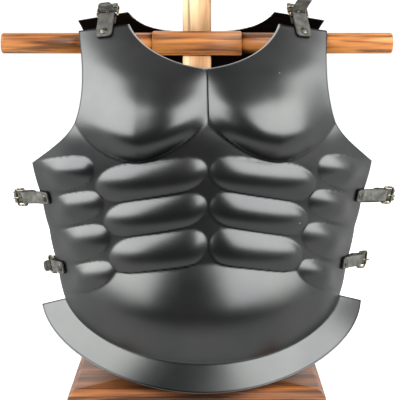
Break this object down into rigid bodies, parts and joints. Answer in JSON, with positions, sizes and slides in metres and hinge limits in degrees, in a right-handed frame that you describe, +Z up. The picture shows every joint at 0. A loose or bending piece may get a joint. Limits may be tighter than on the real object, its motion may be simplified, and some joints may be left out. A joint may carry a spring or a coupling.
{
  "type": "steel breastplate and backplate on a wooden stand",
  "caption": "Muscle-shaped blackened steel breastplate and backplate joined by buckled leather straps, standing on a wooden base with a post and crossbar.",
  "frame": {"origin": "centre of the stand base's underside", "axes": "+Z up along the post, -Y towards the breastplate's front, +X towards the right as seen from the front"},
  "size_m": [0.5274, 0.2835, 0.592],
  "materials": {
    "blackened_steel": "blackened, satin",
    "leather": "dull grey-brown suede side",
    "brass": "antique",
    "warm_wood": "varnished, orange-brown",
    "pale_wood": "varnished, tan"
  },
  "bodies": {
    "root": {"front_plate": "blackened_steel", "back_plate": "blackened_steel", "shoulder_left_tab": "leather", "shoulder_left_buckle": "brass", "shoulder_left_tongue": "brass", "shoulder_left_billet": "leather", "shoulder_left_tab_rivet": "brass", "shoulder_left_billet_rivet": "brass", "shoulder_right_tab": "leather", "shoulder_right_buckle": "brass", "shoulder_right_tongue": "brass", "shoulder_right_billet": "leather", "shoulder_right_tab_rivet": "brass", "shoulder_right_billet_rivet": "brass", "side_upper_left_tab": "leather", "side_upper_left_buckle": "brass", "side_upper_left_tongue": "brass", "side_upper_left_billet": "leather", "side_upper_left_tab_rivet": "brass", "side_upper_left_billet_rivet": "brass", "side_upper_right_tab": "leather", "side_upper_right_buckle": "brass", "side_upper_right_tongue": "brass", "side_upper_right_billet": "leather", "side_upper_right_tab_rivet": "brass", "side_upper_right_billet_rivet": "brass", "side_lower_left_tab": "leather", "side_lower_left_buckle": "brass", "side_lower_left_tongue": "brass", "side_lower_left_billet": "leather", "side_lower_left_tab_rivet": "brass", "side_lower_left_billet_rivet": "brass", "side_lower_right_tab": "leather", "side_lower_right_buckle": "brass", "side_lower_right_tongue": "brass", "side_lower_right_billet": "leather", "side_lower_right_tab_rivet": "brass", "side_lower_right_billet_rivet": "brass", "stand_base": "warm_wood", "stand_post": "pale_wood", "crossbar": "pale_wood"}
  },
  "joints": []
}
